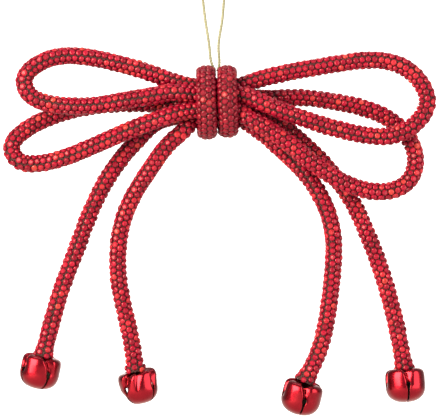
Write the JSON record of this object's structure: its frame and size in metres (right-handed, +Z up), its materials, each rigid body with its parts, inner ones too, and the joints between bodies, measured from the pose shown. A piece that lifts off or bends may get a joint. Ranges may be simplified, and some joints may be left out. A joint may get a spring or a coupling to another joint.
{
  "type": "bow ornament",
  "caption": "Hanging double bow of red glitter rope with a wrapped knot, four hanging tails that end in red jingle bells, and a gold thread loop.",
  "frame": {"origin": "inside of the hanging thread's crown, where the ornament hangs on a branch or hook", "axes": "+Z up, +X to the bow's right as seen from its front, the bow faces -Y"},
  "size_m": [0.162, 0.0277, 0.1833],
  "materials": {
    "upper_loops": "faceted red stones close together on a dark net",
    "lower_loops": "faceted red stones close together on a dark net",
    "outer_tails": "faceted red stones close together on a dark net",
    "inner_tails": "faceted red stones close together on a dark net",
    "centre_wrap": "faceted red stones close together on a dark net",
    "bell_outer_left": "glossy metallic red lacquer",
    "bell_inner_left": "glossy metallic red lacquer",
    "bell_inner_right": "glossy metallic red lacquer",
    "bell_outer_right": "glossy metallic red lacquer",
    "hanging_thread": "twisted metallic gold thread"
  },
  "bodies": {
    "root": {"upper_loops": "upper_loops", "lower_loops": "lower_loops", "outer_tails": "outer_tails", "inner_tails": "inner_tails", "centre_wrap": "centre_wrap", "bell_outer_left": "bell_outer_left", "bell_inner_left": "bell_inner_left", "bell_inner_right": "bell_inner_right", "bell_outer_right": "bell_outer_right", "hanging_thread": "hanging_thread"}
  },
  "joints": []
}
